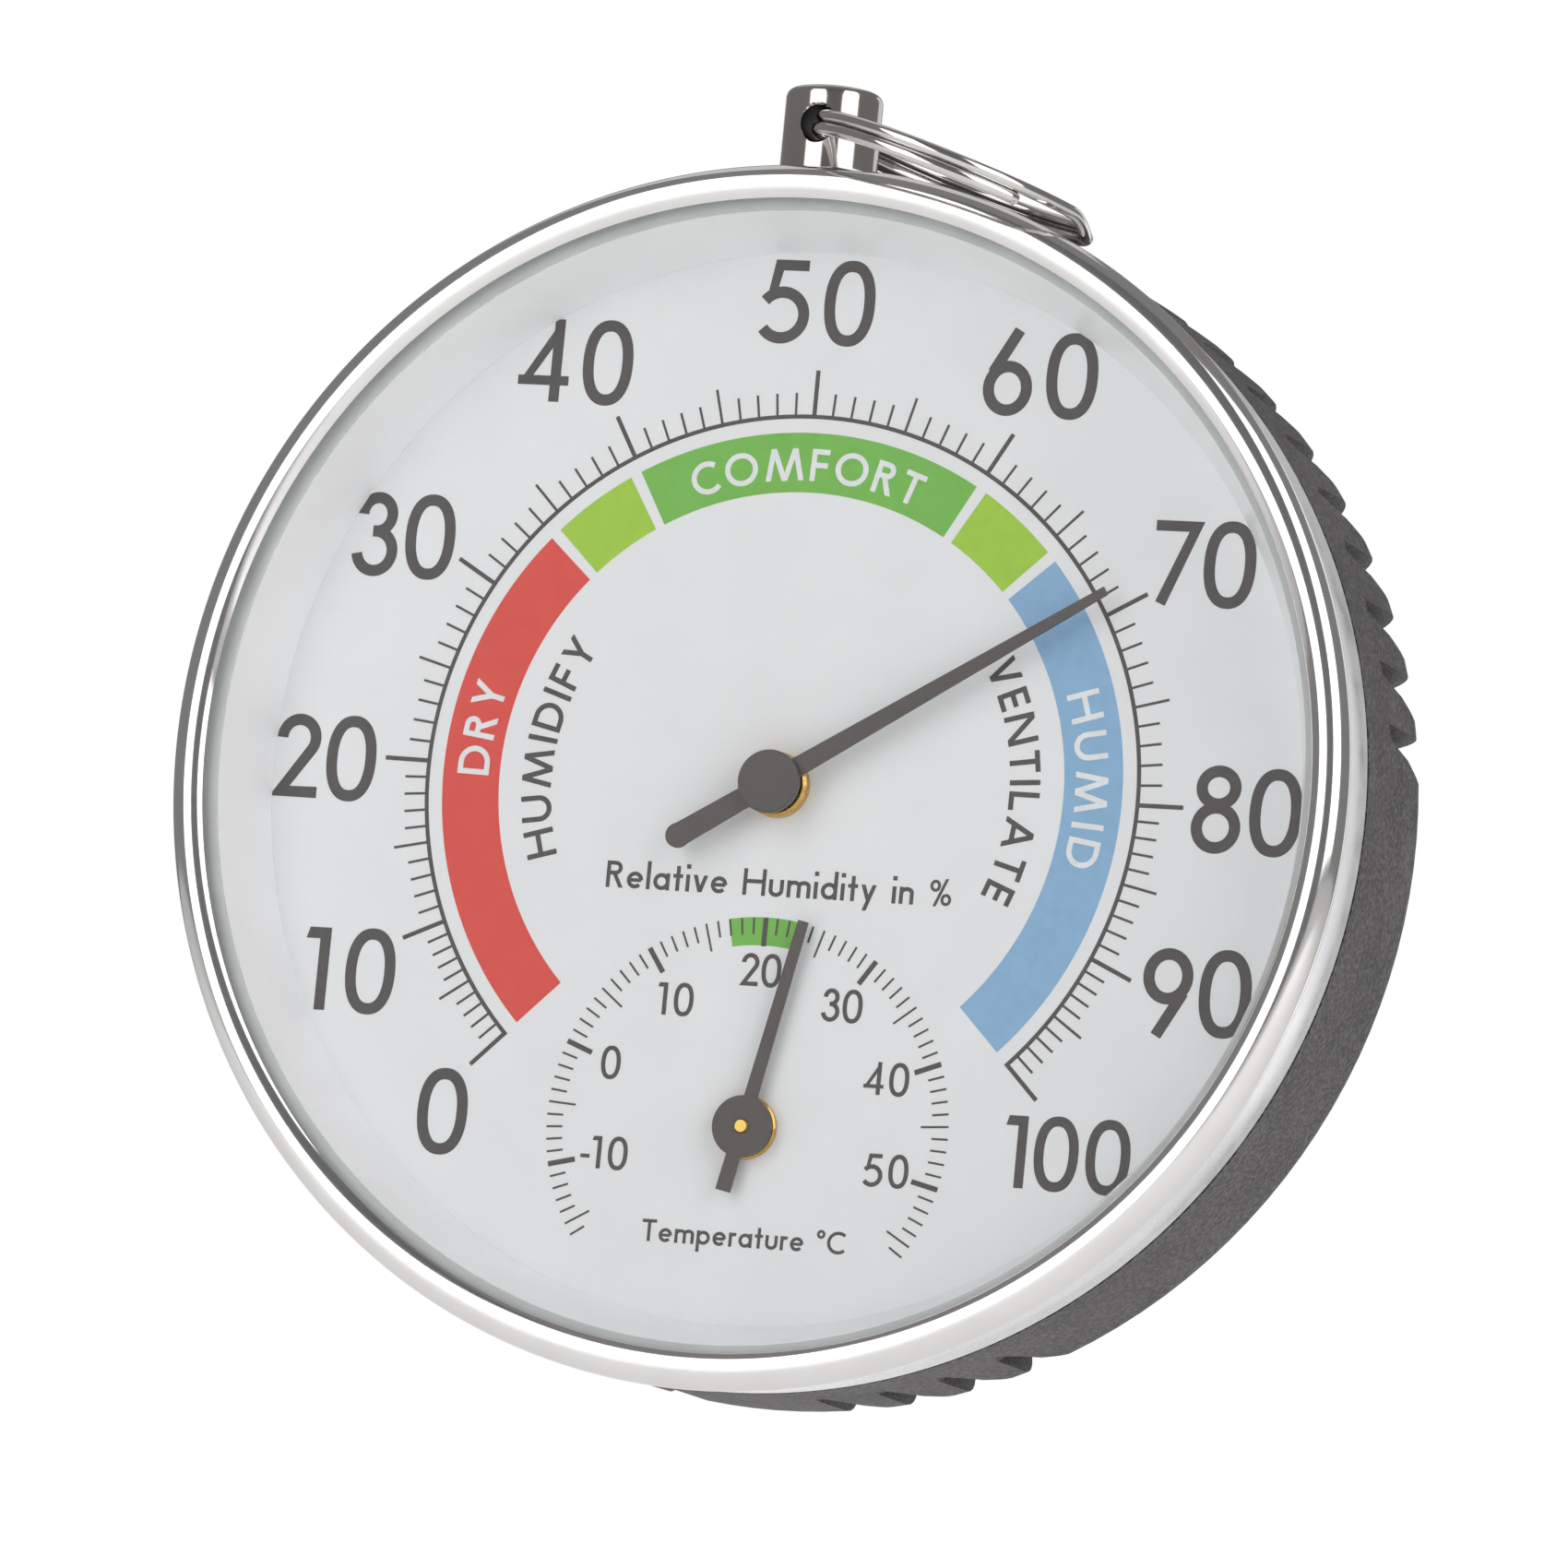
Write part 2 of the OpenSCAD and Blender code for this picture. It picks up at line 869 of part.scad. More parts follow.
module temperature_arbor() {
    color("#d8a95a")
        thermo_frame() {
            disc(arbor_r, bracket_z + 0.3, 1.3);
            disc(0.3, bracket_z - 1.4, bracket_z + 0.35);
            translate([0, 0, 1.3])
                cylinder(r1 = 0.62, r2 = 0.5, h = 0.2);
        }
}

module temperature_pointer() {
    color("#5c5856")
        thermo_frame()
            clockwise(temperature_angle)
                difference() {
                    union() {
                        translate([0, 0, 0.9])
                            linear_extrude(height = 0.35)
                                polygon([[-0.62, -5.5], [0.62, -5.5], [0.42, 17.5], [-0.42, 17.5]]);
                        disc(2.55, 0.9, 1.25);
                        disc(1.1, 0.7, 1);
                    }
                    disc(arbor_r + 0.01, 0, 5);
                }
}

module bimetal_coil() {
    color("#a98a6a")
        thermo_frame()
            translate([0, 0, coil_z])
                spiral(coil_in_r + coil_strip / 2 + touch_gap, coil_r, coil_turns, coil_strip, coil_h);
}

module coil_collet() {
    color("#c9a45c")
        thermo_frame()
            tube(coil_in_r, arbor_r + 0.01, coil_z - 0.3, coil_z + coil_h + 0.3);
}

// Post on the base plate that holds the coil's outer end.
module coil_post() {
    color("#c6c7c9")
        thermo_frame()
            translate([0, coil_r + coil_strip / 2 + 0.95 + touch_gap, 0])
                difference() {
                    disc(0.95, coil_z - 0.4, base_z);
                    box(3, 0.3, coil_z - 1, coil_z - 0.1);
                }
}

// Bent strip that carries the rear pivot of the thermometer's arbor.
module thermo_bracket() {
    color("#cfae6c")
        thermo_frame()
            difference() {
                union() {
                    box(2 * bracket_foot_x, 5, bracket_z - 1, bracket_z);
                    for (s = [-1, 1]) {
                        translate([s * (bracket_foot_x - 0.5), 0, 0])
                            box(1, 5, bracket_z - 1, base_z);
                        translate([s * (bracket_foot_x + 1.8), 0, 0])
                            box(5.6, 5, base_z - 1, base_z);
                    }
                }
                disc(0.34, -20, 0);
                for (s = [-1, 1])
                    translate([s * bracket_screw_x, 0, 0])
                        disc(0.85, -20, 0);
            }
}

module bracket_screws() {
    color("#9fa0a3")
        thermo_frame()
            for (s = [-1, 1])
                translate([s * bracket_screw_x, 0, base_z - 1 - touch_gap])
                    rear_screw(1.5, 0.9, 0.7, 1.9);
}

case_body();
rear_cover();
rear_cover_screws();
bezel_ring();
lens();
lens_gasket();
flange_ring();
dial_plate();
base_plate();
base_plate_screws();
hanging_stud();
stud_washer();
stud_nut();
split_ring();
humidity_bush();
humidity_arbor();
humidity_pointer();
pointer_cap();
hair_drum();
hair_bundle();
guide_roller();
roller_axle();
roller_clip();
hairspring();
hairspring_collet();
hairspring_stud();
movement_bridge();
bridge_pillars();
pillar_screws();
bridge_screws();
rear_pivot_bush();
slider_guide();
guide_cap();
guide_screws();
anchor_slider();
hair_clamp();
clamp_screw();
calibration_screw();
friction_washer();
temperature_bush();
temperature_arbor();
temperature_pointer();
bimetal_coil();
coil_collet();
coil_post();
thermo_bracket();
bracket_screws();
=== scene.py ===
import json
import math

import bmesh
import bpy
from mathutils import Matrix, Vector
from mathutils.geometry import delaunay_2d_cdt


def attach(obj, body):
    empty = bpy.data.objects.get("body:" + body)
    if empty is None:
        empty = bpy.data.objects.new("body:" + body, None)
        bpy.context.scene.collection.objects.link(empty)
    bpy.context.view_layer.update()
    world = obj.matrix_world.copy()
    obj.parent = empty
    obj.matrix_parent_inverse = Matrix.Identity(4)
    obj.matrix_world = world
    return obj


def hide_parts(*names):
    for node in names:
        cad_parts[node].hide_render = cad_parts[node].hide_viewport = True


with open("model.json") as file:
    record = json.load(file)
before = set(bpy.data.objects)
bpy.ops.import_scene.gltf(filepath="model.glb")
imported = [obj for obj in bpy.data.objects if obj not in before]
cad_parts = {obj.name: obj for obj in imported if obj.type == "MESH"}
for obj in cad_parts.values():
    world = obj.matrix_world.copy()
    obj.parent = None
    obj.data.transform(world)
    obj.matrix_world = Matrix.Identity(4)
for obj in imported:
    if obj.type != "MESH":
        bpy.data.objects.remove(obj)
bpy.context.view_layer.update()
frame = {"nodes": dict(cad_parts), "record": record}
nodes = frame["nodes"]

# Millimetres on the dial: x right, y up, z towards the reader, from the dial's centre on its face.
MM = 0.001
DIAL_Y = -19.5
R = 34.7
THERMO_DOWN = 28.3
# How far the instrument hangs turned clockwise in the photograph, in degrees.
HUNG = 0.5


def row(x, y, z):
    """A dial point in millimetres as a point of the shared frame in metres."""
    return Vector((x * MM, (DIAL_Y - z) * MM, y * MM))


def turned(p, degrees):
    """A dial point turned clockwise about the dial's centre."""
    a = math.radians(degrees)
    return (p[0] * math.cos(a) + p[1] * math.sin(a), p[1] * math.cos(a) - p[0] * math.sin(a))


def polar(r, degrees):
    a = math.radians(degrees)
    return (r * math.sin(a), r * math.cos(a))


# ---------------------------------------------------------------- materials


def linear(rgb):
    return tuple(c / 12.92 if c <= 0.04045 else ((c + 0.055) / 1.055) ** 2.4
                 for c in (v / 255 for v in rgb))


def shade(rgb, k):
    return (*[min(1.0, c * k) for c in linear(rgb)], 1.0)


class Finish:
    """One procedural material: a Principled shader driven by noises in millimetres."""

    def __init__(self, name, rgb, rough, metal=0.0, **sockets):
        self.mat = bpy.data.materials.new(name)
        self.mat.use_nodes = True
        self.nodes, self.links = self.mat.node_tree.nodes, self.mat.node_tree.links
        self.bsdf = next(n for n in self.nodes if n.type == "BSDF_PRINCIPLED")
        self.bsdf.inputs["Base Color"].default_value = shade(rgb, 1)
        self.bsdf.inputs["Roughness"].default_value = rough
        self.bsdf.inputs["Metallic"].default_value = metal
        for key, value in sockets.items():
            self.bsdf.inputs[key.replace("_", " ")].default_value = value
        self.rgb, self.rough = rgb, rough
        self.coords = self.nodes.new("ShaderNodeTexCoord").outputs["Object"]
        self.last_normal = None

    def noise(self, per_mm, detail=3.0, stretch=(1, 1, 1), roughness=0.55):
        scale = self.nodes.new("ShaderNodeMapping")
        scale.inputs["Scale"].default_value = [s * per_mm / MM for s in stretch]
        self.links.new(self.coords, scale.inputs["Vector"])
        tex = self.nodes.new("ShaderNodeTexNoise")
        tex.inputs["Scale"].default_value = 1.0
        tex.inputs["Detail"].default_value = detail
        tex.inputs["Roughness"].default_value = roughness
        self.links.new(scale.outputs["Vector"], tex.inputs["Vector"])
        return tex.outputs["Fac"]

    def ramp(self, value, stops):
        ramp = self.nodes.new("ShaderNodeValToRGB")
        while len(ramp.color_ramp.elements) < len(stops):
            ramp.color_ramp.elements.new(0.5)
        for element, (at, colour) in zip(ramp.color_ramp.elements, stops):
            element.position, element.color = at, colour
        self.links.new(value, ramp.inputs["Fac"])
        return ramp.outputs["Color"]

    def mottle(self, value, low, high, start=0.35, end=0.65):
        """Colour varies between two multiples of the finish's own colour."""
        stops = [(start, shade(self.rgb, low)), (end, shade(self.rgb, high))]
        self.links.new(self.ramp(value, stops), self.bsdf.inputs["Base Color"])
        return self

    def roughen(self, value, low, high):
        span = self.nodes.new("ShaderNodeMapRange")
        span.inputs["From Min"].default_value = 0.3
        span.inputs["From Max"].default_value = 0.7
        span.inputs["To Min"].default_value = low
        span.inputs["To Max"].default_value = high
        self.links.new(value, span.inputs["Value"])
        self.links.new(span.outputs["Result"], self.bsdf.inputs["Roughness"])
        return self

    def bump(self, value, height_mm, strength=1.0):
        bump = self.nodes.new("ShaderNodeBump")
        bump.inputs["Strength"].default_value = strength
        bump.inputs["Distance"].default_value = height_mm * MM
        self.links.new(value, bump.inputs["Height"])
        if self.last_normal:
            self.links.new(self.last_normal, bump.inputs["Normal"])
        self.last_normal = bump.outputs["Normal"]
        self.links.new(self.last_normal, self.bsdf.inputs["Normal"])
        return self


def moulded(name, rgb, rough=0.55):
    """Dark plastic from a spark-eroded mould: pits and paler specks."""
    f = Finish(name, rgb, rough)
    specks = f.noise(2.4, 4.0, roughness=0.7)
    cloud = f.noise(0.12, 2.0)
    mix = f.nodes.new("ShaderNodeMix")
    mix.data_type = "FLOAT"
    mix.inputs["Factor"].default_value = 0.12
    f.links.new(specks, mix.inputs["A"])
    f.links.new(cloud, mix.inputs["B"])
    f.mottle(mix.outputs["Result"], 0.3, 2.3, 0.43, 0.61)
    f.roughen(specks, rough - 0.1, rough + 0.15)
    return f.bump(specks, 0.12, 1.0)


def plain(name, rgb, rough, metal=0.0, grain=1.5, depth=0.004, spread=0.05, **sockets):
    """A fine even finish: slight colour and gloss variation with a faint grain."""
    f = Finish(name, rgb, rough, metal, **sockets)
    f.mottle(f.noise(0.15, 3.0), 1 - spread, 1 + spread)
    f.roughen(f.noise(grain * 0.4, 3.0), rough * 0.85, min(1.0, rough * 1.2))
    return f.bump(f.noise(grain, 2.0), depth, 0.5)


def turned_metal(name, rgb, rough, stretch, depth=0.004, spread=0.06):
    """Metal with fine tool lines along one direction."""
    f = Finish(name, rgb, rough, 1.0)
    lines = f.noise(6.0, 3.0, stretch)
    f.mottle(f.noise(0.3, 3.0), 1 - spread, 1 + spread)
    f.roughen(lines, rough * 0.75, rough * 1.35)
    return f.bump(lines, depth, 0.6)


def lens_finish(name):
    f = Finish(name, (60, 64, 65), 0.02, 0.0, Alpha=0.05, IOR=1.45)
    f.mottle(f.noise(0.05, 2.0), 0.97, 1.03)
    return f.roughen(f.noise(0.2, 2.0), 0.012, 0.03)


def ink(name, rgb, rough=0.5):
    """Screen-printed ink: nearly even, with a faint edge-to-edge unevenness."""
    f = Finish(name, rgb, rough)
    f.mottle(f.noise(1.2, 3.0), 0.965, 1.035)
    return f.roughen(f.noise(0.8, 2.0), rough - 0.06, rough + 0.06)


ALONG_Y = (1, 0.02, 1)
FINISHES = {
    "case_plastic": moulded("case_plastic", (76, 73, 72)),
    "bezel_chrome": plain("bezel_chrome", (233, 231, 229), 0.11, 1.0, 0.8, 0.0003, 0.02),
    "lens_glass": lens_finish("lens_glass"),
    "gasket_rubber": plain("gasket_rubber", (217, 220, 220), 0.7),
    "flange_white": plain("flange_white", (248, 249, 250), 0.38, 0.0, 1.0, 0.001, 0.02),
    "dial_white": plain("dial_white", (243, 244, 245), 0.5, 0.0, 3.0, 0.0006, 0.012),
    "plate_aluminium": turned_metal("plate_aluminium", (190, 192, 195), 0.35, (0.04, 1, 1)),
    "screw_steel": plain("screw_steel", (165, 165, 168), 0.3, 1.0),
    "stud_steel": plain("stud_steel", (200, 192, 188), 0.1, 1.0, 0.8, 0.0006),
    "ring_steel": plain("ring_steel", (215, 213, 210), 0.09, 1.0, 0.8, 0.001),
    "pointer_grey": plain("pointer_grey", (88, 82, 80), 0.45, 0.0, 5.0, 0.006, 0.06),
    "brass": turned_metal("brass", (212, 172, 96), 0.24, ALONG_Y, 0.003),
    "arbor_steel": turned_metal("arbor_steel", (196, 198, 202), 0.18, ALONG_Y),
    "spring_steel": plain("spring_steel", (108, 124, 148), 0.28, 1.0),
    "bimetal": plain("bimetal", (178, 146, 112), 0.32, 1.0),
    "hair": plain("hair", (176, 152, 108), 0.6, 0.0, 4.0, 0.01, 0.25),
    "white_acetal": plain("white_acetal", (222, 218, 206), 0.45, 0.0, 1.2, 0.003, 0.03),
    "jewel": plain("jewel", (170, 52, 50), 0.12, 0.0, 1.0, 0.001, 0.1),
}
BAND_FINISH = plain("bezel_band_satin", (235, 235, 237), 0.27, 1.0, 0.8, 0.0003, 0.015)
# Painted shade: the wall of the stud's cross hole gets a near-black metal colour in place of the
# shade that falls inside the hole.
BORE_PAINTED_SHADE = plain("stud_bore_painted_shade", (46, 43, 42), 0.4, 1.0)
INKS = {
    "dark": ink("ink_dark", (84, 80, 79)),
    "red": ink("ink_red", (230, 80, 70)),
    "lime": ink("ink_lime", (167, 213, 64)),
    "green": ink("ink_green", (122, 193, 80)),
    "blue": ink("ink_blue", (142, 186, 222)),
    "white": ink("ink_white", (240, 242, 243)),
}


def dress(obj, *finishes):
    obj.data.materials.clear()
    for f in finishes:
        obj.data.materials.append(f.mat)


for part in frame["record"]["subparts"]:
    dress(nodes[part["node"]], FINISHES[part["material_slot"]])


# ---------------------------------------------------------------- making meshes


def piece(name, mesh_data, slot, body, *finishes, smooth=None):
    verts, faces = mesh_data[:2]
    mesh = bpy.data.meshes.new(name)
    mesh.from_pydata(verts, [], faces)
    mesh.update()
    obj = bpy.data.objects.new(name, mesh)
    bpy.context.scene.collection.objects.link(obj)
    dress(obj, *finishes)
    if len(mesh_data) > 2:
        mesh.polygons.foreach_set("material_index", mesh_data[2])
    if smooth is not None:
        mesh.polygons.foreach_set("use_smooth", [True] * len(faces))
        mesh.set_sharp_from_angle(angle=math.radians(smooth))
    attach(obj, body)
    return obj


def lathe(profile, steps, marks=None):
    """Turns a closed profile of (radius, z) about the dial's axis. marks: each edge's material."""
    verts = [row(*polar(r, 360 * i / steps), z) for i in range(steps) for r, z in profile]
    n = len(profile)
    faces, index = [], []
    for i in range(steps):
        a, b = i * n, (i + 1) % steps * n
        for k in range(n):
            m = (k + 1) % n
            faces.append((a + k, a + m, b + m, b + k))
            index.append(marks[k] if marks else 0)
    return verts, faces, index


def counter_clockwise(poly):
    area = sum(a[0] * b[1] - b[0] * a[1] for a, b in zip(poly, poly[1:] + poly[:1]))
    return poly if area > 0 else poly[::-1]


def plate(groups, z0, z1):
    """Each group of polygons becomes one flat solid from z0 to z1, its overlaps merged."""
    verts, faces = [], []
    for group in groups:
        flat, polys = [], []
        for poly in group:
            poly = counter_clockwise(list(poly))
            polys.append(list(range(len(flat), len(flat) + len(poly))))
            flat += [Vector(p) for p in poly]
        out = delaunay_2d_cdt(flat, [], polys, 0, 1e-5, True)
        tris = [t for t, inside in zip(out[2], out[5]) if inside]
        base, n = len(verts), len(out[0])
        verts += [row(p.x, p.y, z0) for p in out[0]] + [row(p.x, p.y, z1) for p in out[0]]
        edges = {(a, b) for t in tris for a, b in zip(t, t[1:] + t[:1])}
        faces += [[base + n + i for i in t] for t in tris]
        faces += [[base + i for i in reversed(t)] for t in tris]
        faces += [[base + a, base + b, base + n + b, base + n + a]
                  for a, b in edges if (b, a) not in edges]
    used = sorted({i for f in faces for i in f})
    place = {old: new for new, old in enumerate(used)}
    return [verts[i] for i in used], [[place[i] for i in f] for f in faces]


def sector(r0, r1, a0, a1, step=1.0):
    """Part of a flat ring between two clockwise angles, as a strip of quads."""
    n = max(1, math.ceil(abs(a1 - a0) / step))
    marks = [a0 + (a1 - a0) * i / n for i in range(n + 1)]
    return [[polar(r0, a), polar(r1, a), polar(r1, b), polar(r0, b)]
            for a, b in zip(marks, marks[1:])]


def tick(angle, r0, r1, width):
    return [turned(p, angle) for p in
            [(-width / 2, r0), (width / 2, r0), (width / 2, r1), (-width / 2, r1)]]


# ---------------------------------------------------------------- lettering
# Glyphs are lists of polygons in units of the capital's height, from the lower left.


def arc(cx, cy, rx, ry, a0, a1, power=2.0, n=28):
    """Points on an ellipse, angles counter-clockwise from the right."""
    def bend(v):
        return math.copysign(abs(v) ** (2 / power), v)
    angles = [math.radians(a0 + (a1 - a0) * i / n) for i in range(n + 1)]
    return [(cx + rx * bend(math.cos(a)), cy + ry * bend(math.sin(a))) for a in angles]


def stroke(points, w):
    """A line of even width as quads that share mitred ends."""
    points = [p for i, p in enumerate(points) if i == 0 or math.dist(p, points[i - 1]) > 1e-6]
    closed = math.dist(points[0], points[-1]) < 1e-6
    if closed:
        points = points[:-1]
    n = len(points)
    sides = []
    for i, (x, y) in enumerate(points):
        normals = []
        for a, b in ((i - 1, i), (i, i + 1)):
            if closed or (a >= 0 and b < n):
                p, q = points[a % n], points[b % n]
                d = math.dist(p, q) or 1.0
                normals.append(((p[1] - q[1]) / d, (q[0] - p[0]) / d))
        mx, my = sum(v[0] for v in normals), sum(v[1] for v in normals)
        size = math.hypot(mx, my) or 1.0
        mx, my = mx / size, my / size
        k = w / 2 / max(0.5, mx * normals[0][0] + my * normals[0][1])
        sides.append(((x + mx * k, y + my * k), (x - mx * k, y - my * k)))
    pairs = list(zip(sides, sides[1:])) + ([(sides[-1], sides[0])] if closed else [])
    return [[a[0], a[1], b[1], b[0]] for a, b in pairs]


def bar(x0, x1, y, w):
    return [[(x0, y - w / 2), (x1, y - w / 2), (x1, y + w / 2), (x0, y + w / 2)]]


def stem(x, y0, y1, w):
    return [[(x - w / 2, y0), (x + w / 2, y0), (x + w / 2, y1), (x - w / 2, y1)]]


def slant(x0, y0, x1, y1, w):
    """A diagonal cut level at both ends."""
    h = w / 2 * math.dist((x0, y0), (x1, y1)) / abs(y1 - y0)
    return [[(x0 - h, y0), (x0 + h, y0), (x1 + h, y1), (x1 - h, y1)]]


def figure(char, w=0.138):
    """A numeral: (width, polygons)."""
    six = (stroke(arc(0.3065, 0.327, 0.2375, 0.265, 0, 360), w)
           + stroke([(0.402, 1.035), (0.11, 0.513)], w))
    shapes = {
        "0": (0.638, stroke(arc(0.319, 0.5, 0.25, 0.454, 0, 360, 2.3, 48), w)),
        "1": (0.317, [[(0.04, 1), (0, 0.864), (0.18, 0.864), (0.18, 1)],
                      [(0.18, 0), (0.317, 0), (0.317, 1), (0.18, 1)]]),
        "2": (0.578, stroke(arc(0.291, 0.72, 0.215, 0.226, 180, -35)
                            + [(0.1, 0.0655), (0.578, 0.0655)], w)),
        "3": (0.592, stroke(arc(0.3, 0.75, 0.187, 0.2055, 180, -90) + [(0.255, 0.545)], w)
              + stroke([(0.255, 0.545)] + arc(0.296, 0.302, 0.227, 0.243, 90, -172), w)),
        "4": (0.648, stem(0.4775, 0, 1.01, 0.131) + bar(0, 0.648, 0.259, 0.116)
              + [[(0, 0.201), (0.115, 0.201), (0.19, 0.317), (0.412, 0.663), (0.543, 0.867),
                  (0.543, 1.01), (0.5, 1.01)]]),
        "5": (0.608, stroke(arc(0.261, 0.332, 0.279, 0.279, 143, -143.5), w)
              + [[(0.136, 1.005), (0.05, 0.482), (0.186, 0.638), (0.266, 1.005)]]
              + bar(0.136, 0.558, 0.94, 0.13)),
        "6": (0.613, six),
        "7": (0.593, [[(0, 1), (0, 0.874), (0.412, 0.874), (0.593, 1)],
                      [(0.412, 0.874), (0.065, 0.03), (0.186, -0.02), (0.593, 1)]]),
        "8": (0.607, stroke(arc(0.304, 0.764, 0.206, 0.196, 0, 360), w)
              + stroke(arc(0.304, 0.289, 0.234, 0.239, 0, 360), w)),
        "9": (0.613, [[(0.613 - x, 1 - y) for x, y in poly] for poly in six]),
        "-": (0.3, bar(0, 0.3, 0.37, w * 0.85)),
    }
    return shapes[char]


def letter(char, w):
    """A capital or small letter of a geometric stroke face: (width, polygons)."""
    h, x = w / 2, 0.64
    small = (x - w) / 2
    bowl = stroke(arc(h + small, x / 2, small, small, 0, 360), w)
    shapes = {
        "A": (1.0, slant(h * 1.1, 0, 0.5, 1, w) + slant(1 - h * 1.1, 0, 0.5, 1, w)
              + bar(0.24, 0.76, 0.3, w)),
        "C": (0.86, stroke(arc(0.53, 0.5, 0.53 - h, 0.515 - h, 48, 312), w)),
        "D": (0.86, stem(h, 0, 1, w) + stroke([(h, 1 - h), (0.34, 1 - h)]
              + arc(0.36, 0.5, 0.5 - h, 0.5 - h, 90, -90) + [(0.34, h), (h, h)], w)),
        "E": (0.56, stem(h, 0, 1, w) + bar(h, 0.56, h, w) + bar(h, 0.54, 0.5, w)
              + bar(h, 0.56, 1 - h, w)),
        "F": (0.57, stem(h, 0, 1, w) + bar(h, 0.54, 0.5, w) + bar(h, 0.57, 1 - h, w)),
        "H": (0.89, stem(h, 0, 1, w) + stem(0.89 - h, 0, 1, w) + bar(h, 0.89 - h, 0.53, w)),
        "I": (w, stem(h, 0, 1, w)),
        "L": (0.59, stem(h, 0, 1, w) + bar(h, 0.59, h, w)),
        "M": (1.23, slant(h * 1.1, 0, 0.27, 1, w) + slant(0.27, 1, 0.615, 0, w)
              + slant(0.615, 0, 0.96, 1, w) + slant(0.96, 1, 1.23 - h * 1.1, 0, w)),
        "N": (0.94, stem(h, 0, 1, w) + stem(0.94 - h, 0, 1, w)
              + slant(h * 1.3, 1, 0.94 - h * 1.3, 0, w)),
        "O": (1.06, stroke(arc(0.53, 0.5, 0.53 - h, 0.515 - h, 0, 360, 2, 40), w)),
        "R": (0.69, stem(h, 0, 1, w) + stroke([(h, 1 - h), (0.34, 1 - h)]
              + arc(0.35, 0.74, 0.26 - h, 0.26 - h, 90, -90) + [(0.34, 0.48 + h), (h, 0.48 + h)], w)
              + slant(0.32, 0.52, 0.69 - h * 1.2, 0, w)),
        "T": (0.69, stem(0.345, 0, 1, w) + bar(0, 0.69, 1 - h, w)),
        "U": (0.85, stroke([(h, 1), (h, 0.42)] + arc(0.425, 0.42, 0.425 - h, 0.43 - h, 180, 360)
                           + [(0.85 - h, 1)], w)),
        "V": (0.8, slant(h * 1.1, 1, 0.4, 0, w) + slant(0.8 - h * 1.1, 1, 0.4, 0, w)),
        "Y": (0.77, slant(h * 1.1, 1, 0.385, 0.4, w) + slant(0.77 - h * 1.1, 1, 0.385, 0.4, w)
              + stem(0.385, 0, 0.46, w)),
        "a": (x, bowl + stem(x - h, 0, x, w)),
        "d": (x, bowl + stem(x - h, 0, 1.06, w)),
        "e": (x, stroke(arc(x / 2, x / 2, small, small, 0, 318), w)
              + bar(h, x - h, x / 2, w * 0.9)),
        "i": (w, stem(h, 0, x, w) + stem(h, 0.86, 0.86 + w * 1.1, w * 1.1)),
        "l": (w, stem(h, 0, 1.06, w)),
        "m": (0.92, stem(h, 0, x, w)
              + [q for c in (0.27, 0.65) for q in stroke(
                  arc(c + 0.01, x - 0.21, 0.19, 0.21 - h, 180, 0) + [(c + 0.2, 0)], w)]),
        "n": (0.56, stem(h, 0, x, w) + stroke(
            arc(0.29, x - 0.22, 0.27 - h, 0.22 - h, 180, 0) + [(0.56 - h, 0)], w)),
        "p": (x, bowl + stem(h, -0.33, x, w)),
        "r": (0.34, stem(h, 0, x, w) + stroke(arc(h + 0.18, x - 0.2, 0.18, 0.2 - h, 175, 62), w)),
        "t": (0.38, stem(0.19, 0, 0.94, w) + bar(0, 0.38, x - h, w * 0.95)),
        "u": (0.58, stroke([(h, x), (h, 0.25)] + arc(0.29, 0.25, 0.29 - h, 0.26 - h, 180, 360)
                           + [(0.58 - h, x)], w)),
        "v": (0.58, slant(h * 1.1, x, 0.29, 0, w) + slant(0.58 - h * 1.1, x, 0.29, 0, w)),
        "y": (0.6, slant(h * 1.1, x, 0.31, 0.02, w) + slant(0.6 - h * 1.1, x, 0.17, -0.33, w)),
        "%": (0.84, stroke(arc(0.2, 0.75, 0.15, 0.17, 0, 360), w * 0.75)
              + stroke(arc(0.64, 0.24, 0.15, 0.17, 0, 360), w * 0.75)
              + slant(0.2, -0.02, 0.64, 1.02, w * 0.75)),
        "°": (0.36, stroke(arc(0.18, 0.84, 0.14, 0.14, 0, 360), w * 0.8)),
    }
    return shapes[char]


def spread(glyphs, gap):
    """Letters with an even gap, in units of the capital: [(left edge, width, polygons)]."""
    out, at = [], 0.0
    for width, polys in glyphs:
        if polys:
            out.append((at, width, polys))
        at += width + gap
    return out


def line_of_text(text, x0, x1, y, w=0.15, gap=0.13, space=0.36):
    """A level line that fills the width from x0 to x1."""
    glyphs = [(space, []) if c == " " else letter(c, w) for c in text]
    cap = (x1 - x0) / (sum(g[0] for g in glyphs) + gap * (len(glyphs) - 1))
    return [[[(x0 + (left + px) * cap, y + py * cap) for px, py in poly] for poly in polys]
            for left, _, polys in spread(glyphs, gap)]


def ring_of_text(text, a0, a1, r, cap, w=0.165):
    """Capitals standing outwards on a circle; the end letters' middles are at the two angles."""
    glyphs = [letter(c, w) for c in text]
    ends = (glyphs[0][0] + glyphs[-1][0]) / 2
    length = math.radians(a1 - a0) * r / cap
    gap = (length + ends - sum(g[0] for g in glyphs)) / (len(glyphs) - 1)
    out = []
    for left, width, polys in spread(glyphs, gap):
        middle = left + width / 2
        angle = a0 + math.degrees((middle - glyphs[0][0] / 2) * cap / r)
        out.append([[turned(((px - middle + left) * cap, r + py * cap), angle)
                     for px, py in poly] for poly in polys])
    return out


GAP_AFTER = {"1": 0.226, "2": 0.09, "3": 0.09, "4": 0.166, "5": 0.18, "6": 0.166, "7": 0.03,
             "8": 0.095, "9": 0.085, "0": 0.106, "-": 0.05}


